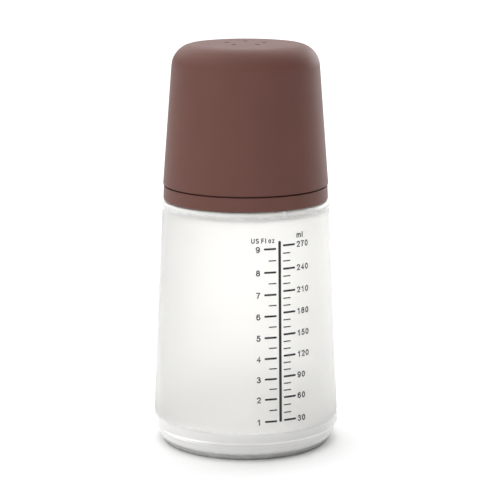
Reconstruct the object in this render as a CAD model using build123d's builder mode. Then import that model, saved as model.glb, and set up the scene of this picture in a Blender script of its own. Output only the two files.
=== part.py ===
from build123d import *

import math
import os

# Baby bottle, 270 ml, with a vented cover cap.  Millimetres, +Z up.  The origin is on the
# bottle's axis, in the plane that its foot stands on.  The printed scale is on the -Y side.
# The pieces are turned shapes: each is a profile of radius (x) and height (y) in Plane.XZ,
# revolved about Z.

# ---- bottle body, outside ------------------------------------------------------------------
FOOT_R = 33.4  # the low foot ring that the bottle stands on
FOOT_INNER_R = 30.6
FOOT_HEIGHT = 1.4
FOOT_EDGE = 0.4
RECESS_DEPTH = 4.6  # under the base, inside the foot ring
RECESS_SLOPE = 3.2
RECESS_ROUND = 2.0
BASE_ARC_MID = (35.2, 3.0)  # the rounded lower edge, from the foot ring to the taper
TAPER_R = 36.0
TAPER_Z = 5.7
MOULD_LINE_R = 37.15  # the widest circle of the bottle
MOULD_LINE_Z = 8.0
SHOULDER_R = 32.98
SHOULDER_Z = 97.7
SHOULDER_ROUND = 1.2

# ---- bottle body, inside and neck ----------------------------------------------------------
WALL = 1.8
FLOOR_Z = 8.4
FLOOR_ROUND = 4.1
INNER_SHOULDER_Z = 95.9
INNER_SHOULDER_ROUND = 3.0
NECK_R = 26.6
NECK_BORE_R = 24.7
RIM_Z = 110.6
RIM_ROUND = 0.6
RIB_WIDTH = 1.0  # locating rib across the shoulder's edge
RIB_LENGTH = 3.4
RIB_AZIMUTH = 27.0
RIB_LOW_Z = 95.9
RIB_TOP_Z = 97.95
RIB_PROUD = 0.06  # how far its end stands out of the side

# ---- thread between the neck and the ring: right-handed, one start -------------------------
THREAD_PITCH = 5.0
THREAD_TURNS = 1.35
THREAD_DEPTH = 1.4
THREAD_ROOT = 0.3  # how far a ridge reaches into its own wall
THREAD_ROOT_WIDTH = 2.4
THREAD_CREST_WIDTH = 1.0
NECK_THREAD_Z = 101.6  # middle of the neck's ridge, where it starts
RING_THREAD_DROP = 2.05  # the ring's ridge lies this far below the neck's

# ---- screw ring ----------------------------------------------------------------------------
RING_BOTTOM_Z = 98.1
RING_BOTTOM_R = 32.76
RING_BOTTOM_ROUND = 0.9
RING_TOP_R = 32.5
LEDGE_Z = 103.7  # the top of the skirt, the lower side of the groove under the cap
STEP_R = 31.5  # a low step inside the groove, which the cap stands on
CAP_BOTTOM_Z = 104.3
SEAM_ROUND = 0.25  # the edges on both sides of the groove
RING_BORE_R = 28.3
COLLAR_R = 29.8  # the part of the ring that goes up inside the cap
COLLAR_TOP_Z = 114.2
COLLAR_ROUND = 1.0
LIP_THICKNESS = 1.8
LIP_HOLE_R = 21.5
CORE_INNER_R = 29.8  # annular core under the skirt, which keeps the walls even
CORE_OUTER_R = 31.2
CORE_TOP_Z = 102.4
RING_BEAD_R = 30.2
RING_BEAD_Z = 109.2
BEAD_HALF_HEIGHT = 0.9
BEAD_CREST_HALF_HEIGHT = 0.2

# ---- cover cap -----------------------------------------------------------------------------
CAP_BOTTOM_R = 32.78
CAP_CORNER_R = 28.57  # the side's radius, carried straight up to the top
CAP_CORNER_Z = 159.4
CAP_CORNER_ROUND = 13.0
CAP_DOME = 0.4
CAP_WALL = 1.75
CAP_BEAD_R = 30.3
CAP_BEAD_Z = 107.3
CAP_BEAD_ROOT = 1.4  # how far inside the cap's outside the bead is rooted
VENT_COUNT = 5
VENT_PITCH_R = 7.74
VENT_R = 1.0
VENT_START = 90.0

# ---- teat ----------------------------------------------------------------------------------
FLANGE_R = 27.4
FLANGE_THICKNESS = 1.75
TEAT_NECK_R = 21.2
TEAT_WALL = 1.8
TEAT_BEAD_R = 22.6
TEAT_BEAD_GAP = 0.3
TEAT_BEAD_HEIGHT = 1.2
TEAT_SIDE_Z = 119.6
AREOLA_R = 8.6
AREOLA_Z = 128.0
NIPPLE_R = 6.8
NIPPLE_TIP_Z = 151.0
NIPPLE_TIP_ROUND = 6.2
TEAT_SIDE_ROUND = 5.0
AREOLA_ROUND = 7.0
FLOW_HOLE_R = 0.3
AIR_VALVE_R = 0.5
AIR_VALVE_PITCH_R = 23.2

# ---- printed scale -------------------------------------------------------------------------
INK = 0.06  # thickness of the print
INK_BITE = 0.02  # how far the print is sunk into the wall
ML_LEVELS = [16.3, 25.4, 33.6, 41.8, 50.2, 58.8, 67.2, 75.9, 85.0]  # 30, 60 ... 270 ml
OZ_LEVELS = [16.2, 25.0, 33.0, 41.1, 49.3, 57.7, 66.1, 74.8, 83.9]  # 1, 2 ... 9 fl oz
MINOR_PER_ML_STEP = 3  # 10 ml apart
MINOR_PER_OZ_STEP = 2  # half an ounce apart
MAJOR_THICKNESS = 0.6
MINOR_THICKNESS = 0.3
ML_MAJOR_LENGTH = 5.4
OZ_MAJOR_LENGTH = 5.0
MINOR_LENGTH = 3.2
TICK_GAP = 1.4  # from the bar's middle to the near end of every tick
BAR_WIDTH = 1.07
BAR_LOW_Z = 15.7
BAR_TOP_Z = 86.9
BAR_LOW_AZIMUTH = 21.7  # from -Y towards +X
BAR_TOP_AZIMUTH = 22.8

os.makedirs("parts", exist_ok=True)


def corner(radius, height):
    """The corner of the open sketch that is nearest to a radius and a height."""
    return vertices().sort_by_distance((radius, height))[0]


def wall_radius(height):
    """Outside radius of the bottle's conical side at a height."""
    share = (height - MOULD_LINE_Z) / (SHOULDER_Z - MOULD_LINE_Z)
    return MOULD_LINE_R + (SHOULDER_R - MOULD_LINE_R) * share


def cap_radius(height):
    """Outside radius of the cap's conical side at a height."""
    share = (height - CAP_BOTTOM_Z) / (CAP_CORNER_Z - CAP_BOTTOM_Z)
    return CAP_BOTTOM_R + (CAP_CORNER_R - CAP_BOTTOM_R) * share


def ridge_plane(path, outwards):
    """The plane across the start of a thread's path, with x pointing away from the wall."""
    start = path @ 0
    radial = Vector(start.X, start.Y, 0).normalized() * outwards
    return Plane(origin=start, x_dir=radial, z_dir=path % 0)


def ridge_points():
    """A thread ridge's section: its root at x = -THREAD_ROOT, its crest at x = THREAD_DEPTH."""
    half_root = THREAD_ROOT_WIDTH / 2
    half_crest = THREAD_CREST_WIDTH / 2
    return [
        (-THREAD_ROOT, -half_root),
        (THREAD_DEPTH, -half_crest),
        (THREAD_DEPTH, half_crest),
        (-THREAD_ROOT, half_root),
    ]


def bead_points(wall_r, crest_r, height):
    """A snap bead's section on a wall at wall_r, with its crest at crest_r."""
    return [
        (wall_r, height - BEAD_HALF_HEIGHT),
        (crest_r, height - BEAD_CREST_HALF_HEIGHT),
        (crest_r, height + BEAD_CREST_HALF_HEIGHT),
        (wall_r, height + BEAD_HALF_HEIGHT),
    ]


# ---- bottle body: translucent shell with a thick base and a threaded neck -------------------
with BuildPart() as bottle_body:
    with BuildSketch(Plane.XZ):
        with BuildLine():
            Polyline(
                (0, RECESS_DEPTH),
                (FOOT_INNER_R - RECESS_SLOPE, RECESS_DEPTH),
                (FOOT_INNER_R, 0),
                (FOOT_R, 0),
                (FOOT_R, FOOT_HEIGHT),
            )
            ThreePointArc((FOOT_R, FOOT_HEIGHT), BASE_ARC_MID, (TAPER_R, TAPER_Z))
            Polyline(
                (TAPER_R, TAPER_Z),
                (MOULD_LINE_R, MOULD_LINE_Z),
                (SHOULDER_R, SHOULDER_Z),
                (NECK_R, SHOULDER_Z),
                (NECK_R, RIM_Z),
                (0, RIM_Z),
                (0, RECESS_DEPTH),
            )
        make_face()
        fillet(corner(FOOT_R, 0), FOOT_EDGE)
        fillet(corner(FOOT_INNER_R - RECESS_SLOPE, RECESS_DEPTH), RECESS_ROUND)
        fillet(corner(SHOULDER_R, SHOULDER_Z), SHOULDER_ROUND)
    revolve(axis=Axis.Z)

    with BuildSketch(Plane.XZ):
        with BuildLine():
            Polyline(
                (0, FLOOR_Z),
                (wall_radius(FLOOR_Z) - WALL, FLOOR_Z),
                (wall_radius(INNER_SHOULDER_Z) - WALL, INNER_SHOULDER_Z),
                (NECK_BORE_R, INNER_SHOULDER_Z),
                (NECK_BORE_R, RIM_Z),
                (0, RIM_Z),
                close=True,
            )
        make_face()
        fillet(corner(wall_radius(FLOOR_Z) - WALL, FLOOR_Z), FLOOR_ROUND)
        fillet(corner(wall_radius(INNER_SHOULDER_Z) - WALL, INNER_SHOULDER_Z), INNER_SHOULDER_ROUND)
        fillet(corner(NECK_BORE_R, INNER_SHOULDER_Z), SHOULDER_ROUND)
    revolve(axis=Axis.Z, mode=Mode.SUBTRACT)
    fillet(edges().filter_by(GeomType.CIRCLE).group_by(Axis.Z)[-1], RIM_ROUND)

    with BuildLine(Plane.XY.offset(NECK_THREAD_Z)) as neck_helix:
        Helix(THREAD_PITCH, THREAD_PITCH * THREAD_TURNS, NECK_R)
    with BuildSketch(ridge_plane(neck_helix.line, 1)):
        with BuildLine():
            Polyline(*ridge_points(), close=True)
        make_face()
    sweep(path=neck_helix.line, is_frenet=True)

    with BuildSketch(Plane.XY.offset(RIB_LOW_Z)):
        with PolarLocations(wall_radius(RIB_LOW_Z) - RIB_LENGTH / 2 + RIB_PROUD, 1, RIB_AZIMUTH - 90):
            Rectangle(RIB_LENGTH, RIB_WIDTH)
    extrude(amount=RIB_TOP_Z - RIB_LOW_Z)

bottle_body.part.label = "bottle_body"
export_step(bottle_body.part, "parts/bottle_body.step")


# ---- screw ring: skirt flush with the cap, collar that carries it, lip over the teat --------
with BuildPart() as screw_ring:
    with BuildSketch(Plane.XZ):
        with BuildLine():
            Polyline(
                (RING_BORE_R, RING_BOTTOM_Z),
                (RING_BOTTOM_R, RING_BOTTOM_Z),
                (RING_TOP_R, LEDGE_Z),
                (STEP_R, LEDGE_Z),
                (STEP_R, CAP_BOTTOM_Z),
                (COLLAR_R, CAP_BOTTOM_Z),
                (COLLAR_R, COLLAR_TOP_Z),
                (LIP_HOLE_R, COLLAR_TOP_Z),
                (LIP_HOLE_R, COLLAR_TOP_Z - LIP_THICKNESS),
                (RING_BORE_R, COLLAR_TOP_Z - LIP_THICKNESS),
                close=True,
            )
        make_face()
        fillet(corner(RING_BOTTOM_R, RING_BOTTOM_Z), RING_BOTTOM_ROUND)
        fillet(corner(RING_TOP_R, LEDGE_Z), SEAM_ROUND)
        fillet(corner(COLLAR_R, COLLAR_TOP_Z), COLLAR_ROUND)
        with BuildLine():
            Polyline(*bead_points(COLLAR_R, RING_BEAD_R, RING_BEAD_Z), close=True)
        make_face()
    revolve(axis=Axis.Z)

    with BuildSketch(Plane.XY.offset(RING_BOTTOM_Z)):
        Circle(CORE_OUTER_R)
        Circle(CORE_INNER_R, mode=Mode.SUBTRACT)
    extrude(amount=CORE_TOP_Z - RING_BOTTOM_Z, mode=Mode.SUBTRACT)

    with BuildLine(Plane.XY.offset(NECK_THREAD_Z - RING_THREAD_DROP)) as ring_helix:
        Helix(THREAD_PITCH, THREAD_PITCH * THREAD_TURNS, RING_BORE_R)
    with BuildSketch(ridge_plane(ring_helix.line, -1)):
        with BuildLine():
            Polyline(*ridge_points(), close=True)
        make_face()
    sweep(path=ring_helix.line, is_frenet=True)

screw_ring.part.label = "screw_ring"
export_step(screw_ring.part, "parts/screw_ring.step")


# ---- teat: soft hollow nipple with a clamped flange and its air valve -----------------------
flange_top = RIM_Z + FLANGE_THICKNESS
teat_bead_z = COLLAR_TOP_Z + TEAT_BEAD_GAP
teat_bore_r = TEAT_NECK_R - TEAT_WALL

with BuildPart() as teat:
    with BuildSketch(Plane.XZ):
        with BuildLine():
            Polyline(
                (0, RIM_Z),
                (FLANGE_R, RIM_Z),
                (FLANGE_R, flange_top),
                (TEAT_NECK_R, flange_top),
                (TEAT_NECK_R, teat_bead_z),
                (TEAT_BEAD_R, teat_bead_z),
                (TEAT_BEAD_R, teat_bead_z + TEAT_BEAD_HEIGHT),
                (TEAT_NECK_R, TEAT_SIDE_Z),
                (AREOLA_R, AREOLA_Z),
                (NIPPLE_R, NIPPLE_TIP_Z),
                (0, NIPPLE_TIP_Z),
                close=True,
            )
        make_face()
        fillet(corner(TEAT_NECK_R, TEAT_SIDE_Z), TEAT_SIDE_ROUND)
        fillet(corner(AREOLA_R, AREOLA_Z), AREOLA_ROUND)
        fillet(corner(NIPPLE_R, NIPPLE_TIP_Z), NIPPLE_TIP_ROUND)
    revolve(axis=Axis.Z)

    with BuildSketch(Plane.XZ):
        with BuildLine():
            Polyline(
                (0, RIM_Z),
                (teat_bore_r, RIM_Z),
                (teat_bore_r, TEAT_SIDE_Z - TEAT_WALL / 2),
                (AREOLA_R - TEAT_WALL, AREOLA_Z - TEAT_WALL / 2),
                (NIPPLE_R - TEAT_WALL, NIPPLE_TIP_Z - TEAT_WALL),
                (0, NIPPLE_TIP_Z - TEAT_WALL),
                close=True,
            )
        make_face()
        fillet(corner(teat_bore_r, TEAT_SIDE_Z - TEAT_WALL / 2), TEAT_SIDE_ROUND - TEAT_WALL)
        fillet(corner(AREOLA_R - TEAT_WALL, AREOLA_Z - TEAT_WALL / 2), AREOLA_ROUND + TEAT_WALL)
        fillet(corner(NIPPLE_R - TEAT_WALL, NIPPLE_TIP_Z - TEAT_WALL), NIPPLE_TIP_ROUND - TEAT_WALL)
    revolve(axis=Axis.Z, mode=Mode.SUBTRACT)

    with Locations((0, 0, NIPPLE_TIP_Z)):
        Hole(FLOW_HOLE_R, depth=2 * TEAT_WALL)
    with Locations((0, AIR_VALVE_PITCH_R, flange_top)):
        Hole(AIR_VALVE_R, depth=2 * FLANGE_THICKNESS)

teat.part.label = "teat"
export_step(teat.part, "parts/teat.step")


# ---- cover cap: conical shell with a domed top and five air vents --------------------------
with BuildPart() as cover_cap:
    with BuildSketch(Plane.XZ):
        with BuildLine():
            Polyline((0, CAP_CORNER_Z + CAP_DOME), (0, CAP_BOTTOM_Z), (CAP_BOTTOM_R, CAP_BOTTOM_Z))
            Line((CAP_BOTTOM_R, CAP_BOTTOM_Z), (CAP_CORNER_R, CAP_CORNER_Z))
            ThreePointArc(
                (CAP_CORNER_R, CAP_CORNER_Z),
                (CAP_CORNER_R / 2, CAP_CORNER_Z + CAP_DOME * 3 / 4),
                (0, CAP_CORNER_Z + CAP_DOME),
            )
        make_face()
        fillet(corner(CAP_CORNER_R, CAP_CORNER_Z), CAP_CORNER_ROUND)
        fillet(corner(CAP_BOTTOM_R, CAP_BOTTOM_Z), SEAM_ROUND)
    revolve(axis=Axis.Z)

    with BuildSketch(Plane.XZ):
        with BuildLine():
            Polyline(
                (0, CAP_BOTTOM_Z),
                (CAP_BOTTOM_R - CAP_WALL, CAP_BOTTOM_Z),
                (CAP_CORNER_R - CAP_WALL, CAP_CORNER_Z - CAP_WALL),
                (0, CAP_CORNER_Z - CAP_WALL),
                close=True,
            )
        make_face()
        fillet(corner(CAP_CORNER_R - CAP_WALL, CAP_CORNER_Z - CAP_WALL), CAP_CORNER_ROUND - CAP_WALL)
    revolve(axis=Axis.Z, mode=Mode.SUBTRACT)

    with BuildSketch(Plane.XZ):
        with BuildLine():
            Polyline(*bead_points(cap_radius(CAP_BEAD_Z) - CAP_BEAD_ROOT, CAP_BEAD_R, CAP_BEAD_Z), close=True)
        make_face()
    revolve(axis=Axis.Z)

    with Locations((0, 0, CAP_CORNER_Z + CAP_DOME)):
        with PolarLocations(VENT_PITCH_R, VENT_COUNT, VENT_START):
            Hole(VENT_R, depth=2 * CAP_WALL)

cover_cap.part.label = "cover_cap"
export_step(cover_cap.part, "parts/cover_cap.step")


# ---- printed scale: a bar with ticks on its two sides, thin ink on the bottle's wall --------
def bar_azimuth(height):
    """Azimuth of the bar's middle at a height, in degrees."""
    share = (height - BAR_LOW_Z) / (BAR_TOP_Z - BAR_LOW_Z)
    return BAR_LOW_AZIMUTH + (BAR_TOP_AZIMUTH - BAR_LOW_AZIMUTH) * share


def wall_angle(height, along):
    """The angle about Z, from +X, of a place that lies along mm round the wall from the bar."""
    return bar_azimuth(height) - 90 + math.degrees(along / wall_radius(height))


def radial_plane(angle):
    """The upright plane through Z at an angle from +X: x is the radius and y the height."""
    across = math.radians(angle)
    outwards = Vector(math.cos(across), math.sin(across), 0)
    return Plane(origin=(0, 0, 0), x_dir=outwards, z_dir=outwards.cross(Vector(0, 0, 1)))


def tick_points(height, thickness):
    """A tick's upright section on the wall: radius and height."""
    low = height - thickness / 2
    high = height + thickness / 2
    return [
        (wall_radius(low) - INK_BITE, low),
        (wall_radius(low) + INK, low),
        (wall_radius(high) + INK, high),
        (wall_radius(high) - INK_BITE, high),
    ]


def bar_points(height):
    """The bar's level section at a height."""
    corners = []
    for side, lift in ((-1, -INK_BITE), (1, -INK_BITE), (1, INK), (-1, INK)):
        angle = math.radians(wall_angle(height, side * BAR_WIDTH / 2))
        radius = wall_radius(height) + lift
        corners.append((radius * math.cos(angle), radius * math.sin(angle)))
    return corners


def side_ticks(levels, minor_count, side, major_length):
    """One side's ticks, each a height, a start and an end along the wall, and a thickness."""
    near = side * TICK_GAP
    ticks = [(level, near, near + side * major_length, MAJOR_THICKNESS) for level in levels]
    for low, high in zip(levels, levels[1:]):
        for step in range(1, minor_count):
            level = low + (high - low) * step / minor_count
            ticks.append((level, near, near + side * MINOR_LENGTH, MINOR_THICKNESS))
    return ticks


ml_ticks = side_ticks(ML_LEVELS, MINOR_PER_ML_STEP, 1, ML_MAJOR_LENGTH)
oz_ticks = side_ticks(OZ_LEVELS, MINOR_PER_OZ_STEP, -1, OZ_MAJOR_LENGTH)

with BuildPart() as graduation_scale:
    for bar_end in (BAR_LOW_Z, BAR_TOP_Z):
        with BuildSketch(Plane.XY.offset(bar_end)):
            with BuildLine():
                Polyline(*bar_points(bar_end), close=True)
            make_face()
    loft(ruled=True)

    for level, near, far, thickness in ml_ticks + oz_ticks:
        with BuildSketch(radial_plane(wall_angle(level, min(near, far)))):
            with BuildLine():
                Polyline(*tick_points(level, thickness), close=True)
            make_face()
        revolve(axis=Axis.Z, revolution_arc=math.degrees(abs(far - near) / wall_radius(level)))

graduation_scale.part.label = "graduation_scale"
export_step(graduation_scale.part, "parts/graduation_scale.step")
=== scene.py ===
import math

import bmesh
import bpy
from mathutils import Matrix, Vector


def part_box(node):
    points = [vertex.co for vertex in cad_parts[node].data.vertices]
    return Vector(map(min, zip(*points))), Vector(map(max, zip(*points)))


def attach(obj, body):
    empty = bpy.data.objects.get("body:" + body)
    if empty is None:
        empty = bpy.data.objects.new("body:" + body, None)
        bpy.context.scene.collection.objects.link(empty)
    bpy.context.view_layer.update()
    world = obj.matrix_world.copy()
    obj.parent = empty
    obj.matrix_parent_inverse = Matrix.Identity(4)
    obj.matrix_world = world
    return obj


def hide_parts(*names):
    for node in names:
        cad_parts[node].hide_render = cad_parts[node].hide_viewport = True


# Baby bottle with a vented cover cap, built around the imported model.  Blender works in
# metres; the sizes below are in millimetres, as in the CAD, and MM turns them into metres.
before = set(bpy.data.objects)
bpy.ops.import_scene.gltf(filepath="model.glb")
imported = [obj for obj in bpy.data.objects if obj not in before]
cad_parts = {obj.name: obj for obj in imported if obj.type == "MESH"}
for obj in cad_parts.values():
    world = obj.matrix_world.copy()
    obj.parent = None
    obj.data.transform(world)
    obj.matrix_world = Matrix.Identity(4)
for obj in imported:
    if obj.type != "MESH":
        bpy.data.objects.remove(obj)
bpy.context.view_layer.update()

MM = 0.001
TURN_STEPS = 256  # faces round every turned piece
ARC_STEPS = 8  # faces along every rounded corner of an outline
HOLE_STEPS = 40  # faces round every small hole
SUPPORT = 0.12  # an extra ring this near to each rounded corner keeps the flats flat
SHARP_ANGLE = math.radians(40)


def node_span(node):
    """A CAD node's largest radius and its lowest and highest points, in mm."""
    low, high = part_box(node)
    return high.x / MM, low.z / MM, high.z / MM


# ---- sizes: the large ones come from the frame, the small ones repeat the CAD's ------------
WIDEST_R, STAND_Z, RIM_Z = node_span("bottle_body")
RING_LOW_Z, COLLAR_TOP_Z = node_span("screw_ring")[1:]
CAP_LOW_Z, CAP_TOP_Z = node_span("cover_cap")[1:]
FLANGE_R, FLANGE_LOW_Z, TIP_Z = node_span("teat")
BAR_LOW_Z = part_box("graduation_scale")[0].z / MM
BAR_TOP_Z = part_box("graduation_scale")[1].z / MM

FOOT_R = 33.4
FOOT_INNER_R = 30.6
FOOT_HEIGHT = 1.4
FOOT_BULGE = 0.72  # how far the rounded edge above the foot stands off its chord
RECESS_DEPTH = 4.6
RECESS_SLOPE = 3.2  # how much narrower the recess is at its top
GATE_R = 2.0  # the moulding gate's dimple in the middle of the recess
GATE_DEPTH = 0.35
RECESS_LINE_R = 13.0  # the raised line round the recess: its inner edge, flat width and height
RECESS_LINE_WIDTH = 1.8
RECESS_LINE_HEIGHT = 0.25
TAPER_R = 36.0
TAPER_Z = 5.7
MOULD_LINE_Z = 8.0
SHOULDER_R = 32.98
SHOULDER_Z = 97.7
WALL = 1.8
FLOOR_Z = 8.4
INNER_SHOULDER_Z = 95.9
NECK_R = 26.6
NECK_BORE_R = 24.7

THREAD_PITCH = 5.0
THREAD_TURNS = 1.35
THREAD_DEPTH = 1.4
THREAD_ROOT_HALF = 1.1
THREAD_CREST_HALF = 0.45
THREAD_FADE = 14.0  # degrees over which a ridge rises and dies away
NECK_THREAD_Z = 101.6
RING_THREAD_DROP = 2.05
THREAD_ROW = 0.22  # spacing of the rings of faces that carry a ridge

RING_BOTTOM_R = 32.76
RING_TOP_R = 32.5
LEDGE_Z = 103.7  # the top of the ring's skirt, the lower side of the dark groove
STEP_R = 31.2  # the groove's inner wall, 0.3 further in than in the CAD so that the line reads dark
RING_BORE_R = 28.3
COLLAR_R = 29.8
LIP_HOLE_R = 21.5
LIP_THICKNESS = 1.8
RING_BEAD_R = 30.2
RING_BEAD_Z = 109.2
CORE_OUTER_R = 31.2
CORE_TOP_Z = 102.4

CAP_BOTTOM_R = 32.78
CAP_CORNER_R = 28.57
CAP_CORNER_Z = 159.4
CAP_CORNER_ROUND = 13.0
CAP_WALL = 1.75
CAP_BEAD_R = 30.3
CAP_BEAD_Z = 107.3
BEAD_HALF = 0.9  # both snap beads: half their height at the root and at the crest
BEAD_CREST_HALF = 0.2
VENT_COUNT = 5
VENT_PITCH_R = 7.74
VENT_R = 1.0
VENT_START = 90.0

FLANGE_THICKNESS = 1.75
TEAT_NECK_R = 21.2
TEAT_WALL = 1.8
TEAT_BEAD_R = 22.6
TEAT_BEAD_LOW_Z = 114.5
TEAT_BEAD_TOP_Z = 115.7
TEAT_SIDE_Z = 119.6
AREOLA_R = 8.6
AREOLA_Z = 128.0
NIPPLE_R = 6.8
FLOW_HOLE_R = 0.3
AIR_VALVE_R = 0.5
AIR_VALVE_PITCH_R = 23.2

RIB_AZIMUTH = 27.0
RIB_WIDTH = 1.0
RIB_LENGTH = 3.4
RIB_LOW_Z = 95.9
RIB_TOP_Z = 97.95

INK = 0.06
INK_BITE = 0.02
BAR_WIDTH = 1.07
BAR_LOW_AZIMUTH = 21.7
BAR_TOP_AZIMUTH = 22.8
ML_LEVELS = [16.3, 25.4, 33.6, 41.8, 50.2, 58.8, 67.2, 75.9, 85.0]  # 30, 60 ... 270 ml
OZ_LEVELS = [16.2, 25.0, 33.0, 41.1, 49.3, 57.7, 66.1, 74.8, 83.9]  # 1, 2 ... 9 fl oz
TICK_GAP = 1.4
MAJOR_THICKNESS = 0.76
MINOR_THICKNESS = 0.45
ML_MAJOR_LENGTH = 5.4
OZ_MAJOR_LENGTH = 5.0
MINOR_LENGTH = 3.2
NUMERAL_GAP = 7.6  # from the bar's middle to the ml numerals
NUMERAL_HEIGHT = 2.4
ML_LABEL_HEIGHT = 2.3
OZ_LABEL_HEIGHT = 2.0
LETTER_WEIGHT = 0.19  # a letter's stroke, as a share of its height
DIGIT_WIDTH = 0.68  # of its height
LETTER_GAP = 0.18
STROKE_STEP = 0.8  # mm between the cuts along a printed stroke
BEND_STEP = 18  # degrees between the cuts round a letter's bowl
MITRE_LIMIT = 1.5
ROUND_END = (0.35, 0.8, 1.2)  # angles of the cuts round a stroke's end, in radians
ML_LABEL_RISE = 3.5  # from the top numeral up to the label
OZ_LABEL_RISE = 3.3
OZ_LABEL_GAP = 2.1


# ---- outlines and turned meshes -------------------------------------------------------------
def rounded(points, closed=False):
    """An outline of (radius, height, corner round) as (radius, height), with arcs at its corners."""
    outline = []
    count = len(points)
    for index, (radius, height, corner) in enumerate(points):
        at_end = not closed and index in (0, count - 1)
        if corner <= 0 or at_end:
            outline.append((radius, height))
            continue
        here = Vector((radius, height))
        before = Vector(points[index - 1][:2]) - here
        after = Vector(points[(index + 1) % count][:2]) - here
        half = before.angle(after) / 2
        reach = min(corner / math.tan(half), before.length * 0.49, after.length * 0.49)
        fillet = reach * math.tan(half)
        centre = here + (before.normalized() + after.normalized()).normalized() * fillet / math.sin(half)
        start = here + before.normalized() * reach
        end = here + after.normalized() * reach
        outline.append(tuple(start + before.normalized() * min(SUPPORT, reach * 0.5)))
        first = start - centre
        turn = first.angle_signed(end - centre)
        for step in range(ARC_STEPS + 1):
            angle = -turn * step / ARC_STEPS
            c, s = math.cos(angle), math.sin(angle)
            spoke = Vector((first.x * c - first.y * s, first.x * s + first.y * c))
            outline.append(tuple(centre + spoke))
        outline.append(tuple(end + after.normalized() * min(SUPPORT, reach * 0.5)))
    return outline


def arc_between(start, end, bulge, steps):
    """Points from start to end on a shallow arc that stands bulge mm off the chord's middle."""
    start, end = Vector(start), Vector(end)
    chord = end - start
    across = Vector((chord.y, -chord.x)).normalized()
    points = []
    for step in range(steps + 1):
        t = step / steps
        points.append(tuple(start + chord * t + across * bulge * 4 * t * (1 - t)))
    return points


def new_object(name, bm):
    """A smooth-shaded object made from a bmesh, with its sharp edges marked."""
    mesh = bpy.data.meshes.new(name)
    bmesh.ops.recalc_face_normals(bm, faces=bm.faces)
    bm.to_mesh(mesh)
    bm.free()
    mesh.shade_smooth()
    mesh.set_sharp_from_angle(angle=SHARP_ANGLE)
    piece = bpy.data.objects.new(name, mesh)
    bpy.context.scene.collection.objects.link(piece)
    return piece


def turned(name, outline, ridge=None, closed=True):
    """The outline turned about Z.  ridge(angle, radius, height) gives what is added to a radius."""
    bm = bmesh.new()
    rings = []
    for radius, height in outline:
        if radius < 1e-6:
            rings.append([bm.verts.new((0, 0, height * MM))])
            continue
        ring = []
        for step in range(TURN_STEPS):
            angle = math.tau * step / TURN_STEPS
            r = radius + (ridge(angle, radius, height) if ridge else 0)
            ring.append(bm.verts.new((r * math.cos(angle) * MM, r * math.sin(angle) * MM, height * MM)))
        rings.append(ring)
    pairs = list(zip(rings, rings[1:]))
    if closed:
        pairs.append((rings[-1], rings[0]))
    for low, high in pairs:
        for step in range(TURN_STEPS):
            after = (step + 1) % TURN_STEPS
            if len(low) == 1 and len(high) == 1:
                break
            if len(low) == 1:
                bm.faces.new((low[0], high[after], high[step]))
            elif len(high) == 1:
                bm.faces.new((low[step], low[after], high[0]))
            else:
                bm.faces.new((low[step], low[after], high[after], high[step]))
    return new_object(name, bm)


def rows(radius, low, high, spacing):
    """Evenly spaced points up a straight wall, both ends left out."""
    count = max(2, round(abs(high - low) / spacing))
    return [(radius, low + (high - low) * step / count) for step in range(1, count)]


def thread_height(angle, height, start_z):
    """How far a right-handed thread's ridge stands out at an angle and a height, in mm."""
    best = 0.0
    for turn in range(-1, 3):
        travelled = angle / math.tau + turn
        if not 0 <= travelled <= THREAD_TURNS:
            continue
        fade = min(travelled, THREAD_TURNS - travelled) * 360 / THREAD_FADE
        off = abs(height - start_z - THREAD_PITCH * travelled)
        flank = (THREAD_ROOT_HALF - off) / (THREAD_ROOT_HALF - THREAD_CREST_HALF)
        best = max(best, min(1, max(0, flank)) * min(1, fade))
    return best * THREAD_DEPTH


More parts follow.
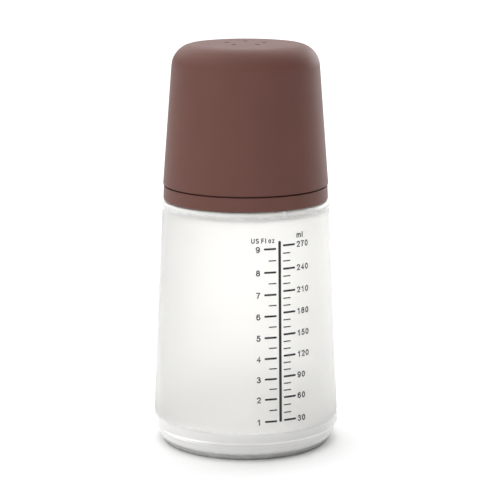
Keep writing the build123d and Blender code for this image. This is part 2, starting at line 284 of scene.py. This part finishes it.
# ---- materials ------------------------------------------------------------------------------
class Nodes:
    """A material's node tree, with short calls for the nodes that every material here uses."""

    def __init__(self, name):
        self.material = bpy.data.materials.new(name)
        self.material.use_nodes = True
        self.tree = self.material.node_tree
        self.shader = self.tree.nodes["Principled BSDF"]
        self.place = self.tree.nodes.new("ShaderNodeTexCoord").outputs["Object"]

    def link(self, output, socket):
        self.tree.links.new(output, socket)

    def stretched(self, scale):
        """Object coordinates stretched by a scale per axis."""
        mapping = self.tree.nodes.new("ShaderNodeMapping")
        mapping.inputs["Scale"].default_value = scale
        self.link(self.place, mapping.inputs["Vector"])
        return mapping.outputs["Vector"]

    def noise(self, grain_mm, detail=3.0, roughness=0.5, place=None):
        """Noise whose features are about grain_mm across."""
        node = self.tree.nodes.new("ShaderNodeTexNoise")
        node.inputs["Scale"].default_value = 1 / (grain_mm * MM)
        node.inputs["Detail"].default_value = detail
        node.inputs["Roughness"].default_value = roughness
        self.link(place or self.place, node.inputs["Vector"])
        return node.outputs["Fac"]

    def spread(self, value, low, high, start=0.3, end=0.7):
        """A value between start and end carried over to between low and high."""
        node = self.tree.nodes.new("ShaderNodeMapRange")
        for socket, number in (("From Min", start), ("From Max", end), ("To Min", low), ("To Max", high)):
            node.inputs[socket].default_value = number
        self.link(value, node.inputs["Value"])
        return node.outputs["Result"]

    def ramp(self, value, stops):
        """Colours at places from 0 to 1."""
        node = self.tree.nodes.new("ShaderNodeValToRGB")
        elements = node.color_ramp.elements
        while len(elements) < len(stops):
            elements.new(0.5)
        for element, (position, colour) in zip(elements, stops):
            element.position = position
            element.color = (*colour, 1)
        self.link(value, node.inputs["Fac"])
        return node.outputs["Color"]

    def tinted(self, colour, value):
        """A colour made darker by a value from 0 to 1."""
        node = self.tree.nodes.new("ShaderNodeVectorMath")
        node.operation = "SCALE"
        self.link(colour, node.inputs["Vector"])
        self.link(value, node.inputs["Scale"])
        return node.outputs["Vector"]

    def radius_and_height(self):
        """Distance from the bottle's axis and height above the floor, in metres."""
        split = self.tree.nodes.new("ShaderNodeSeparateXYZ")
        self.link(self.place, split.inputs["Vector"])
        squares = [self.combine("MULTIPLY", split.outputs[axis], split.outputs[axis]) for axis in "XY"]
        return self.combine("SQRT", self.combine("ADD", *squares), 0.0), split.outputs["Z"]

    def combine(self, operation, first, second):
        """Arithmetic on two values; either may be a plain number."""
        node = self.tree.nodes.new("ShaderNodeMath")
        node.operation = operation
        for socket, value in zip(node.inputs, (first, second)):
            if isinstance(value, (int, float)):
                socket.default_value = value
            else:
                self.link(value, socket)
        return node.outputs["Value"]

    def bump(self, layers):
        """Bumps stacked on the shader's normal: each layer is a height, a depth in mm and a strength."""
        normal = None
        for height, depth_mm, strength in layers:
            node = self.tree.nodes.new("ShaderNodeBump")
            node.inputs["Strength"].default_value = strength
            node.inputs["Distance"].default_value = depth_mm * MM
            self.link(height, node.inputs["Height"])
            if normal:
                self.link(normal, node.inputs["Normal"])
            normal = node.outputs["Normal"]
        self.link(normal, self.shader.inputs["Normal"])

    def set(self, **values):
        """Plain values on the shader's own sockets, with underscores for spaces."""
        for name, value in values.items():
            self.shader.inputs[name.replace("_", " ")].default_value = value


# Milkiness: the share of light that the plastic scatters back. The thick base and neck are milky,
# and a light haze in the side fades out on its way up.
MILKY_FLOOR = 1.0
MILKY_BASE = 0.7
MILKY_SIDE = 0.22
MILKY_TOP = 0.02
MILKY_NECK = 0.65
FLOOR_EDGE_Z = (10.0 * MM, 14.0 * MM)
FLOOR_EDGE_R = (33.5 * MM, 35.3 * MM)
BASE_EDGE_Z = (10.5 * MM, 14.0 * MM)
HAZE_Z = (16.0 * MM, 60.0 * MM)
NECK_EDGE_Z = (93.5 * MM, 96.8 * MM)
SKIN_DEPTH = (1.2 * MM, 0.6 * MM)  # below the outer skin: no haze at the first, all at the second
SKIN_LOW_Z = (6.0 * MM, 8.0 * MM)  # under this the whole base counts as skin
# Roughness: smooth base, frosted side, smoother neck.
SMOOTH_BASE = 0.13
FROSTED_SIDE = 0.5
SMOOTHER_NECK = -0.25
FROST_START_Z = (10.5 * MM, 13.5 * MM)
FROST_END_Z = (93.5 * MM, 96.0 * MM)
# Painted shade at the foot: below the first height the base colour darkens, to the second share at the
# floor.
FOOT_SHADE_Z = 3.4 * MM
FOOT_SHADE_DARKEST = 0.22


def soft_touch_plastic(name, shade):
    """Matt moulded plastic with a fine spark-eroded grain, faint flow marks and rubbed patches."""
    mat = Nodes(name)
    cloud = mat.noise(22, detail=4)
    streak = mat.noise(9, detail=5, place=mat.stretched((1, 1, 0.15)))
    grain = mat.noise(0.16, detail=2)
    mottle = mat.combine("ADD", mat.combine("MULTIPLY", cloud, 0.6), mat.combine("MULTIPLY", streak, 0.4))
    dark = tuple(c * 0.94 for c in shade)
    light = tuple(c * 1.06 for c in shade)
    mat.link(mat.ramp(mottle, [(0.3, dark), (0.5, shade), (0.7, light)]), mat.shader.inputs["Base Color"])
    rubbed = mat.noise(14, detail=6, roughness=0.65)
    rough = mat.combine("ADD", mat.spread(rubbed, 0.43, 0.50), mat.spread(grain, -0.03, 0.03))
    mat.link(rough, mat.shader.inputs["Roughness"])
    mat.bump([(cloud, 0.02, 0.15), (grain, 0.02, 0.35)])
    mat.set(IOR=1.5, Specular_IOR_Level=0.17)
    return mat.material


def milky_plastic():
    """Translucent polypropylene: a frosted side, a milky base and neck, and painted shade darkening the
    foot.
    """
    mat = Nodes("milky_polypropylene")
    cloud = mat.noise(16, detail=3)
    grain = mat.noise(0.35, detail=2)
    ripple = mat.noise(7, detail=2, place=mat.stretched((1, 1, 0.3)))
    radius, height = mat.radius_and_height()
    clean = mat.ramp(cloud, [(0.3, (0.975, 0.971, 0.953)), (0.7, (0.993, 0.989, 0.972))])
    # Painted shade: the base colour darkens towards the foot's bottom edge, with a ragged border, in
    # place of the contact shadow.
    foot_shade_edge = mat.combine("ADD", height, mat.spread(mat.noise(2.5, detail=4), -0.25 * MM, 0.25 * MM))
    foot_shade = mat.spread(foot_shade_edge, FOOT_SHADE_DARKEST, 1, 0, FOOT_SHADE_Z)
    mat.link(mat.tinted(clean, foot_shade), mat.shader.inputs["Base Color"])
    floor = mat.combine(
        "MULTIPLY",
        mat.spread(height, MILKY_FLOOR, 0, *FLOOR_EDGE_Z),
        mat.spread(radius, 1, 0, *FLOOR_EDGE_R),
    )
    slope = (WIDEST_R - SHOULDER_R) / (SHOULDER_Z - MOULD_LINE_Z)
    cone = mat.combine("ADD", radius, mat.combine("MULTIPLY", height, slope))
    skin_r = (WIDEST_R + slope * MOULD_LINE_Z) * MM
    skin = mat.combine(
        "MAXIMUM",
        mat.spread(cone, 0, 1, skin_r - SKIN_DEPTH[0], skin_r - SKIN_DEPTH[1]),
        mat.spread(height, 1, 0, *SKIN_LOW_Z),
    )
    haze = mat.combine(
        "ADD",
        mat.spread(height, MILKY_BASE - MILKY_SIDE, 0, *BASE_EDGE_Z),
        mat.spread(height, MILKY_SIDE, MILKY_TOP, *HAZE_Z),
    )
    base = mat.combine("MULTIPLY", skin, haze)
    neck = mat.spread(height, 0, MILKY_NECK, *NECK_EDGE_Z)
    milky = mat.combine("ADD", mat.combine("MAXIMUM", floor, base), neck)
    mat.link(mat.combine("SUBTRACT", 1.0, milky), mat.shader.inputs["Transmission Weight"])
    frost = mat.combine(
        "ADD",
        mat.spread(height, SMOOTH_BASE, FROSTED_SIDE, *FROST_START_Z),
        mat.spread(height, 0, SMOOTHER_NECK, *FROST_END_Z),
    )
    uneven = mat.combine("ADD", mat.spread(cloud, -0.015, 0.015), mat.spread(grain, -0.015, 0.015))
    rough = mat.combine("ADD", frost, uneven)
    mat.link(rough, mat.shader.inputs["Roughness"])
    mat.bump([(ripple, 0.03, 0.1), (grain, 0.01, 0.08)])
    mat.set(IOR=1.49)
    return mat.material


def clear_silicone():
    """Soft silicone rubber: cloudy, with a dull skin that picks up fine dust."""
    mat = Nodes("teat_silicone")
    cloud = mat.noise(6, detail=3)
    grain = mat.noise(0.25, detail=3)
    mat.link(
        mat.ramp(cloud, [(0.3, (0.86, 0.84, 0.79)), (0.7, (0.92, 0.90, 0.86))]),
        mat.shader.inputs["Base Color"],
    )
    rough = mat.combine("ADD", mat.spread(cloud, 0.36, 0.46), mat.spread(grain, -0.04, 0.04))
    mat.link(rough, mat.shader.inputs["Roughness"])
    mat.bump([(grain, 0.015, 0.25)])
    mat.set(IOR=1.41, Transmission_Weight=0.6)
    return mat.material


def printing_ink():
    """Screen-printed black ink, slightly uneven in coverage and gloss."""
    mat = Nodes("scale_ink")
    mottle = mat.noise(0.5, detail=3)
    mat.link(
        mat.ramp(mottle, [(0.3, (0.010, 0.010, 0.011)), (0.7, (0.024, 0.024, 0.026))]),
        mat.shader.inputs["Base Color"],
    )
    mat.link(mat.spread(mottle, 0.42, 0.58), mat.shader.inputs["Roughness"])
    mat.bump([(mottle, 0.01, 0.2)])
    return mat.material


def paper_floor():
    """The white sweep that the bottle stands on."""
    mat = Nodes("studio_sweep")
    tooth = mat.noise(1.2, detail=3)
    mat.link(
        mat.ramp(tooth, [(0.3, (0.86, 0.86, 0.86)), (0.7, (0.88, 0.88, 0.88))]),
        mat.shader.inputs["Base Color"],
    )
    mat.set(Roughness=0.9, Specular_IOR_Level=0.1)
    return mat.material


# ---- bottle body ----------------------------------------------------------------------------
def side_radius(height):
    """Outside radius of the bottle's conical side, in mm."""
    share = (height - MOULD_LINE_Z) / (SHOULDER_Z - MOULD_LINE_Z)
    return WIDEST_R + (SHOULDER_R - WIDEST_R) * share


def neck_ridge(angle, radius, height):
    """The neck's thread: only the neck's outside wall carries it."""
    if abs(radius - NECK_R) > 0.01:
        return 0.0
    return thread_height(angle, height, NECK_THREAD_Z)


def bottle_outline():
    """The shell's whole section, up the outside and down the inside."""
    foot = rounded(
        [
            (0, RECESS_DEPTH + GATE_DEPTH, 0),
            (GATE_R - 0.4, RECESS_DEPTH + GATE_DEPTH, 0.2),
            (GATE_R, RECESS_DEPTH, 0.2),
            (RECESS_LINE_R, RECESS_DEPTH, 0.2),
            (RECESS_LINE_R + 0.4, RECESS_DEPTH - RECESS_LINE_HEIGHT, 0.2),
            (RECESS_LINE_R + RECESS_LINE_WIDTH - 0.4, RECESS_DEPTH - RECESS_LINE_HEIGHT, 0.2),
            (RECESS_LINE_R + RECESS_LINE_WIDTH, RECESS_DEPTH, 0.2),
            (FOOT_INNER_R - RECESS_SLOPE, RECESS_DEPTH, 2.0),
            (FOOT_INNER_R, STAND_Z, 0.3),
            (FOOT_R, STAND_Z, 0.4),
            (FOOT_R, FOOT_HEIGHT, 0),
        ]
    )
    edge = arc_between((FOOT_R, FOOT_HEIGHT), (TAPER_R, TAPER_Z), FOOT_BULGE, 12)[1:]
    side = rounded(
        [
            (TAPER_R, TAPER_Z, 0),
            (WIDEST_R, MOULD_LINE_Z - 0.15, 0.25),
            (WIDEST_R - 0.1, MOULD_LINE_Z, 0.05),
            (WIDEST_R, MOULD_LINE_Z + 0.15, 0.1),
            (SHOULDER_R, SHOULDER_Z, 1.2),
            (NECK_R, SHOULDER_Z, 0.4),
            (NECK_R, SHOULDER_Z + 1.0, 0),
        ]
    )[1:]
    threaded = rows(NECK_R, SHOULDER_Z + 1.0, RIM_Z - 0.6, THREAD_ROW)
    rim = rounded(
        [
            (NECK_R, RIM_Z - 0.6, 0),
            (NECK_R, RIM_Z, 0.55),
            (NECK_BORE_R, RIM_Z, 0.6),
            (NECK_BORE_R, INNER_SHOULDER_Z, 1.2),
            (side_radius(INNER_SHOULDER_Z) - WALL, INNER_SHOULDER_Z, 3.0),
            (side_radius(FLOOR_Z) - WALL, FLOOR_Z, 4.1),
            (0, FLOOR_Z, 0),
        ]
    )
    return foot + edge + side + threaded + rim


def shoulder_rib():
    """The small locating rib across the shoulder's edge, as a block with rounded edges."""
    bm = bmesh.new()
    bmesh.ops.create_cube(bm, size=1)
    height = RIB_TOP_Z - RIB_LOW_Z
    out = side_radius(RIB_LOW_Z) - RIB_LENGTH / 2 + 0.06
    bmesh.ops.scale(bm, vec=(RIB_LENGTH * MM, RIB_WIDTH * MM, height * MM), verts=bm.verts)
    bmesh.ops.bevel(bm, geom=bm.edges[:], offset=0.12 * MM, segments=2, affect="EDGES", profile=0.5)
    bmesh.ops.translate(bm, vec=(out * MM, 0, (RIB_LOW_Z + height / 2) * MM), verts=bm.verts)
    spin = Matrix.Rotation(math.radians(RIB_AZIMUTH - 90), 3, "Z")
    bmesh.ops.rotate(bm, matrix=spin, verts=bm.verts)
    return new_object("rib", bm)


def make_bottle():
    piece = turned("bottle_shell", bottle_outline(), neck_ridge, closed=False)
    combine_with(piece, shoulder_rib(), "UNION")
    piece.data.materials.append(milky_plastic())
    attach(piece, "bottle")
    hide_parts("bottle_body")


# ---- cover cap ------------------------------------------------------------------------------
def cap_side_radius(height):
    """Outside radius of the cap's conical side, in mm."""
    share = (height - CAP_LOW_Z) / (CAP_CORNER_Z - CAP_LOW_Z)
    return CAP_BOTTOM_R + (CAP_CORNER_R - CAP_BOTTOM_R) * share


def drilled(piece, holes):
    """Cuts holes down through a piece: each is x, y, the top surface's height, its depth and radius."""
    bm = bmesh.new()
    for x, y, top, depth, radius in holes:
        edge = radius * 0.2
        profile = [
            (radius + 3 * edge, top + 2 * edge),
            (radius, top - edge),
            (radius, top - depth + edge),
            (radius + 3 * edge, top - depth - 2 * edge),
        ]
        rings = []
        for r, height in profile:
            ring = []
            for step in range(HOLE_STEPS):
                angle = math.tau * step / HOLE_STEPS
                across = x + r * math.cos(angle)
                along = y + r * math.sin(angle)
                ring.append(bm.verts.new((across * MM, along * MM, height * MM)))
            rings.append(ring)
        for low, high in zip(rings, rings[1:]):
            for step in range(HOLE_STEPS):
                after = (step + 1) % HOLE_STEPS
                bm.faces.new((low[step], low[after], high[after], high[step]))
        bm.faces.new(rings[0])
        bm.faces.new(rings[-1])
    combine_with(piece, new_object("drill", bm), "DIFFERENCE")


def combine_with(piece, other, operation):
    """A boolean of the piece with another object, which is used up."""
    modifier = piece.modifiers.new("combine", "BOOLEAN")
    modifier.operation = operation
    modifier.object = other
    modifier.solver = "EXACT"
    bpy.context.view_layer.update()
    shaped = bpy.data.meshes.new_from_object(piece.evaluated_get(bpy.context.evaluated_depsgraph_get()))
    piece.modifiers.clear()
    piece.data = shaped
    shaped.name = piece.name
    shaped.shade_smooth()
    shaped.set_sharp_from_angle(angle=SHARP_ANGLE)
    bpy.data.objects.remove(other)


def make_cap(material):
    inside_z = CAP_CORNER_Z - CAP_WALL
    outside = rounded(
        [
            (CAP_BOTTOM_R - CAP_WALL, CAP_LOW_Z, 0.15),
            (CAP_BOTTOM_R, CAP_LOW_Z, 0.25),
            (CAP_CORNER_R, CAP_CORNER_Z, CAP_CORNER_ROUND),
            (12.0, CAP_TOP_Z - 0.05, 0),
            (10.0, CAP_TOP_Z - 0.03, 0),
            (5.5, CAP_TOP_Z - 0.01, 0),
            (3.0, CAP_TOP_Z, 0),
            (0, CAP_TOP_Z, 0),
        ]
    )
    inside = rounded(
        [
            (0, inside_z, 0),
            (3.0, inside_z, 0),
            (10.0, inside_z, 0),
            (CAP_CORNER_R - CAP_WALL, inside_z, CAP_CORNER_ROUND - CAP_WALL),
            (cap_side_radius(CAP_BEAD_Z + BEAD_HALF) - CAP_WALL, CAP_BEAD_Z + BEAD_HALF, 0.2),
            (CAP_BEAD_R, CAP_BEAD_Z + BEAD_CREST_HALF, 0.2),
            (CAP_BEAD_R, CAP_BEAD_Z - BEAD_CREST_HALF, 0.2),
            (cap_side_radius(CAP_BEAD_Z - BEAD_HALF) - CAP_WALL, CAP_BEAD_Z - BEAD_HALF, 0.2),
            (CAP_BOTTOM_R - CAP_WALL, CAP_LOW_Z, 0),
        ]
    )
    piece = turned("cover_cap_shell", outside + inside[:-1])
    holes = []
    for vent in range(VENT_COUNT):
        angle = math.radians(VENT_START) + math.tau * vent / VENT_COUNT
        x, y = VENT_PITCH_R * math.cos(angle), VENT_PITCH_R * math.sin(angle)
        holes.append((x, y, CAP_TOP_Z, CAP_TOP_Z - inside_z, VENT_R))
    drilled(piece, holes)
    piece.data.materials.append(material)
    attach(piece, "cap")
    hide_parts("cover_cap")


# ---- screw ring -----------------------------------------------------------------------------
def bore_ridge(angle, radius, height):
    """The ring's internal thread stands inwards from its bore."""
    if abs(radius - RING_BORE_R) > 0.01:
        return 0.0
    return -thread_height(angle, height, NECK_THREAD_Z - RING_THREAD_DROP)


def make_ring(material):
    lip_low = COLLAR_TOP_Z - LIP_THICKNESS
    outline = rounded(
        [
            (RING_BORE_R, RING_LOW_Z, 0.2),
            (COLLAR_R, RING_LOW_Z, 0.2),
            (COLLAR_R, CORE_TOP_Z, 0.3),
            (CORE_OUTER_R, CORE_TOP_Z, 0.3),
            (CORE_OUTER_R, RING_LOW_Z, 0.2),
            (RING_BOTTOM_R, RING_LOW_Z, 0.9),
            (RING_TOP_R, LEDGE_Z, 0.25),
            (STEP_R, LEDGE_Z, 0.1),
            (STEP_R, CAP_LOW_Z, 0.1),
            (COLLAR_R, CAP_LOW_Z, 0.3),
            (COLLAR_R, RING_BEAD_Z - BEAD_HALF, 0.2),
            (RING_BEAD_R, RING_BEAD_Z - BEAD_CREST_HALF, 0.2),
            (RING_BEAD_R, RING_BEAD_Z + BEAD_CREST_HALF, 0.2),
            (COLLAR_R, RING_BEAD_Z + BEAD_HALF, 0.2),
            (COLLAR_R, COLLAR_TOP_Z, 1.0),
            (LIP_HOLE_R, COLLAR_TOP_Z, 0.4),
            (LIP_HOLE_R, lip_low, 0.3),
            (RING_BORE_R, lip_low, 0),
        ]
    )
    threaded = rows(RING_BORE_R, lip_low, RING_LOW_Z + 0.25, THREAD_ROW)
    piece = turned("screw_ring_shell", outline[1:] + threaded, bore_ridge)
    piece.data.materials.append(material)
    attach(piece, "ring")
    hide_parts("screw_ring")


# ---- teat -----------------------------------------------------------------------------------
def make_teat():
    flange_top = FLANGE_LOW_Z + FLANGE_THICKNESS
    bore_r = TEAT_NECK_R - TEAT_WALL
    outline = rounded(
        [
            (FLOW_HOLE_R, TIP_Z - TEAT_WALL, 0),
            (NIPPLE_R - TEAT_WALL, TIP_Z - TEAT_WALL, 4.4),
            (AREOLA_R - TEAT_WALL, AREOLA_Z - TEAT_WALL / 2, 8.8),
            (bore_r, TEAT_SIDE_Z - TEAT_WALL / 2, 3.2),
            (bore_r, FLANGE_LOW_Z, 0.3),
            (FLANGE_R, FLANGE_LOW_Z, 0.4),
            (FLANGE_R, flange_top, 0.4),
            (TEAT_NECK_R, flange_top, 0.2),
            (TEAT_NECK_R, TEAT_BEAD_LOW_Z, 0.1),
            (TEAT_BEAD_R, TEAT_BEAD_LOW_Z, 0.3),
            (TEAT_BEAD_R, TEAT_BEAD_TOP_Z, 0.5),
            (TEAT_NECK_R, TEAT_SIDE_Z, 5.0),
            (AREOLA_R, AREOLA_Z, 7.0),
            (NIPPLE_R, TIP_Z, 6.2),
            (FLOW_HOLE_R, TIP_Z, 0),
        ]
    )
    piece = turned("teat_rubber", outline)
    drilled(piece, [(0, AIR_VALVE_PITCH_R, flange_top, FLANGE_THICKNESS, AIR_VALVE_R)])
    piece.data.materials.append(clear_silicone())
    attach(piece, "teat")
    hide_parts("teat")


# ---- printed scale --------------------------------------------------------------------------
def bend(x, y, across, up, start, end):
    """Points round part of an ellipse, from one angle to another in degrees."""
    steps = max(3, round(abs(end - start) / BEND_STEP))
    angles = [math.radians(start + (end - start) * step / steps) for step in range(steps + 1)]
    return [(x + across * math.cos(a), y + up * math.sin(a)) for a in angles]


SIX = bend(0.52, 0.6, 0.5, 0.4, 40, 180) + bend(0.5, 0.31, 0.5, 0.31, 180, 540)
LETTERS = {  # width as a share of the height, and the lines in a box one wide and one high
    "0": (DIGIT_WIDTH, [bend(0.5, 0.5, 0.5, 0.5, 90, 450)]),
    "1": (DIGIT_WIDTH, [[(0.2, 0.76), (0.42, 0.86), (0.66, 1), (0.66, 0)]]),
    "2": (DIGIT_WIDTH, [bend(0.5, 0.71, 0.48, 0.29, 165, -25) + [(0, 0), (1, 0)]]),
    "3": (DIGIT_WIDTH, [bend(0.46, 0.76, 0.42, 0.24, 155, -90), bend(0.48, 0.27, 0.52, 0.27, 95, -155)]),
    "4": (DIGIT_WIDTH, [[(0.74, 0), (0.74, 1), (0, 0.3), (1, 0.3)]]),
    "5": (DIGIT_WIDTH, [[(0.9, 1), (0.2, 1), (0.08, 0.52)] + bend(0.48, 0.33, 0.52, 0.33, 130, -155)]),
    "6": (DIGIT_WIDTH, [SIX]),
    "7": (DIGIT_WIDTH, [[(0, 1), (1, 1), (0.55, 0.5), (0.35, 0)]]),
    "8": (DIGIT_WIDTH, [bend(0.5, 0.77, 0.43, 0.23, 90, 450), bend(0.5, 0.27, 0.5, 0.27, 90, 450)]),
    "9": (DIGIT_WIDTH, [[(1 - x, 1 - y) for x, y in SIX]]),
    "m": (
        0.95,
        [
            [(0, 0), (0, 0.7)],
            [(0, 0.4)] + bend(0.25, 0.45, 0.25, 0.25, 160, 0) + [(0.5, 0)],
            [(0.5, 0.4)] + bend(0.75, 0.45, 0.25, 0.25, 160, 0) + [(1, 0)],
        ],
    ),
    "l": (LETTER_WEIGHT, [[(0.5, 0), (0.5, 1)]]),
    "U": (0.7, [[(0, 1)] + bend(0.5, 0.4, 0.5, 0.4, 180, 360) + [(1, 1)]]),
    "S": (0.66, [bend(0.5, 0.76, 0.47, 0.24, 30, 260) + bend(0.5, 0.26, 0.5, 0.26, 80, -150)]),
    "F": (0.6, [[(0, 0), (0, 1), (1, 1)], [(0, 0.52), (0.85, 0.52)]]),
    "o": (0.56, [bend(0.5, 0.36, 0.5, 0.36, 90, 450)]),
    "z": (0.5, [[(0, 0.7), (1, 0.7), (0, 0), (1, 0)]]),
    " ": (0.06, []),
}


class Print:
    """Ink shapes drawn flat, along the wall (x), up it (y) and off it (z), then wrapped round it."""

    def __init__(self):
        self.bm = bmesh.new()

    def stroke(self, start, end, thickness):
        """A straight stroke with rounded ends, in short lengths so that it can bend."""
        start, end = Vector(start), Vector(end)
        along = (end - start).normalized()
        start, end = start + along * thickness / 2, end - along * thickness / 2
        count = max(1, round((end - start).length / STROKE_STEP))
        self.path([start.lerp(end, step / count) for step in range(count + 1)], thickness)

    def path(self, points, thickness):
        """A stroke along any line of points: round at its ends, or closed where they meet."""
        points = [Vector(point) for point in points]
        closed = (points[0] - points[-1]).length < 1e-6
        if closed:
            points.pop()
        half = thickness / 2
        stations = []
        for index, point in enumerate(points):
            at_start = index == 0 and not closed
            at_end = index == len(points) - 1 and not closed
            after = (points[(index + 1) % len(points)] - point).normalized()
            before = (point - points[index - 1]).normalized()
            before, after = (after if at_start else before), (before if at_end else after)
            middle = (before + after).normalized()
            across = Vector((-middle.y, middle.x))
            reach = half * min(MITRE_LIMIT, 1 / max(0.1, middle.dot(after)))
            ends = [(half * math.cos(a), across * half * math.sin(a)) for a in ROUND_END]
            if at_start:
                stations += [(point - middle * back, width) for back, width in ends]
            stations.append((point, across * reach))
            if at_end:
                stations += [(point + middle * on, width) for on, width in reversed(ends)]
        rails = []
        for point, width in stations:
            sides = (point + width, point - width)
            rails.append([self.bm.verts.new((p.x, p.y, z)) for z in (INK, -INK_BITE) for p in sides])
        pairs = list(zip(rails, rails[1:]))
        if closed:
            pairs.append((rails[-1], rails[0]))
        else:
            for a, b, c, d in (rails[0], rails[-1]):
                self.bm.faces.new((a, c, d, b))
        for (a, b, c, d), (e, f, g, h) in pairs:
            for corners in ((a, b, f, e), (c, g, h, d), (a, e, g, c), (b, d, h, f)):
                self.bm.faces.new(corners)

    def words(self, text, anchor, place, height):
        """Plain lettering: anchor is LEFT or RIGHT, place its end and its middle height."""
        weight = LETTER_WEIGHT * height
        widths = [LETTERS[letter][0] * height for letter in text]
        left = place[0]
        if anchor == "RIGHT":
            left -= sum(widths) + LETTER_GAP * height * (len(text) - 1)
        foot = place[1] - height / 2
        for letter, width in zip(text, widths):
            for line in LETTERS[letter][1]:
                placed = [
                    (left + weight / 2 + x * (width - weight), foot + weight / 2 + y * (height - weight))
                    for x, y in line
                ]
                self.path(placed, weight)
            left += width + LETTER_GAP * height

    def wrapped(self, name):
        """The finished print, as an object on the bottle's wall."""
        bmesh.ops.remove_doubles(self.bm, verts=self.bm.verts, dist=1e-5)
        for vertex in self.bm.verts:
            along, height, lift = vertex.co
            radius = side_radius(height)
            angle = math.radians(bar_azimuth(height) - 90) + along / radius
            radius += lift
            vertex.co = (radius * math.cos(angle) * MM, radius * math.sin(angle) * MM, height * MM)
        return new_object(name, self.bm)


def bar_azimuth(height):
    """Azimuth of the bar's middle at a height, in degrees from -Y towards +X."""
    share = (height - BAR_LOW_Z) / (BAR_TOP_Z - BAR_LOW_Z)
    return BAR_LOW_AZIMUTH + (BAR_TOP_AZIMUTH - BAR_LOW_AZIMUTH) * share


def make_scale():
    ink = Print()
    ink.stroke((0, BAR_LOW_Z), (0, BAR_TOP_Z), BAR_WIDTH)
    for side, levels, major, minors in (
        (1, ML_LEVELS, ML_MAJOR_LENGTH, 3),
        (-1, OZ_LEVELS, OZ_MAJOR_LENGTH, 2),
    ):
        near = side * TICK_GAP
        for level in levels:
            ink.stroke((near, level), (near + side * major, level), MAJOR_THICKNESS)
        for low, high in zip(levels, levels[1:]):
            for step in range(1, minors):
                level = low + (high - low) * step / minors
                ink.stroke((near, level), (near + side * MINOR_LENGTH, level), MINOR_THICKNESS)
    for index, level in enumerate(ML_LEVELS):
        ink.words(str(30 * (index + 1)), "LEFT", (NUMERAL_GAP, level - 0.1), NUMERAL_HEIGHT)
    for index, level in enumerate(OZ_LEVELS):
        ink.words(str(index + 1), "RIGHT", (-NUMERAL_GAP - 0.3, level - 0.1), NUMERAL_HEIGHT)
    ink.words("ml", "LEFT", (NUMERAL_GAP, ML_LEVELS[-1] + ML_LABEL_RISE), ML_LABEL_HEIGHT)
    ink.words("US Fl oz", "RIGHT", (-OZ_LABEL_GAP, OZ_LEVELS[-1] + OZ_LABEL_RISE), OZ_LABEL_HEIGHT)
    piece = ink.wrapped("scale_print")
    piece.data.materials.append(printing_ink())
    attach(piece, "bottle")
    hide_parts("graduation_scale")


# ---- stage, camera and light ----------------------------------------------------------------
CAMERA_DISTANCE = 782.18
CAMERA_HEIGHT = 236.8
CAMERA_SIDE = -0.27
CAMERA_PITCH = 11.403
LENS = 146.7
SENSOR = 36.0
FLOOR_HALF = 14.0  # metres from the middle of the floor to its edge
WORLD_BASE = 0.095
WORLD_LOBES = [  # direction, cosines where it starts and is full, strength
    ((-0.12, 0.42, 0.87), 0.3, 0.95, 2.05),
    ((-0.65, -0.75, 0.1), 0.1, 0.95, 0.94),
    ((0.62, 0.78, 0.06), 0.86, 0.99, 3.8),
]


def make_camera():
    data = bpy.data.cameras.new("camera")
    data.lens = LENS
    data.sensor_width = SENSOR
    data.clip_start = 0.05
    data.clip_end = 60
    camera = bpy.data.objects.new("camera", data)
    camera.location = (CAMERA_SIDE * MM, -CAMERA_DISTANCE * MM, CAMERA_HEIGHT * MM)
    camera.rotation_euler = (math.radians(90 - CAMERA_PITCH), 0, 0)
    bpy.context.scene.collection.objects.link(camera)
    bpy.context.scene.camera = camera


def make_floor():
    bm = bmesh.new()
    bmesh.ops.create_grid(bm, x_segments=8, y_segments=8, size=FLOOR_HALF)
    floor = new_object("studio_floor", bm)
    floor.location.z = STAND_Z * MM
    floor.data.materials.append(paper_floor())


def make_studio():
    """A white tent: broad light from above and the front left, a small strong one at the back right."""
    world = bpy.data.worlds.new("studio")
    world.use_nodes = True
    tree = world.node_tree
    direction = tree.nodes.new("ShaderNodeTexCoord").outputs["Generated"]

    def lobe(towards, start, end, strength):
        """Light that grows from nothing where the cosine to a direction is start to full at end."""
        dot = tree.nodes.new("ShaderNodeVectorMath")
        dot.operation = "DOT_PRODUCT"
        tree.links.new(direction, dot.inputs[0])
        dot.inputs[1].default_value = Vector(towards).normalized()
        grow = tree.nodes.new("ShaderNodeMapRange")
        grow.interpolation_type = "SMOOTHSTEP"
        for socket, number in (("From Min", start), ("From Max", end), ("To Max", strength)):
            grow.inputs[socket].default_value = number
        tree.links.new(dot.outputs["Value"], grow.inputs["Value"])
        return grow.outputs["Result"]

    total = None
    for towards, start, end, strength in WORLD_LOBES:
        part = lobe(towards, start, end, strength)
        plus = tree.nodes.new("ShaderNodeMath")
        tree.links.new(part, plus.inputs[0])
        if total:
            tree.links.new(total, plus.inputs[1])
        else:
            plus.inputs[1].default_value = WORLD_BASE
        total = plus.outputs["Value"]
    background = tree.nodes["Background"]
    background.inputs["Color"].default_value = (1, 1, 1, 1)
    tree.links.new(total, background.inputs["Strength"])
    bpy.context.scene.world = world
    bpy.context.scene.view_settings.view_transform = "Standard"


COCOA = (0.138, 0.0595, 0.048)  # the brown of the cap and the ring

make_camera()
make_studio()
make_floor()

make_bottle()
make_scale()
make_teat()
make_cap(soft_touch_plastic("cap_plastic", COCOA))
make_ring(soft_touch_plastic("ring_plastic", COCOA))
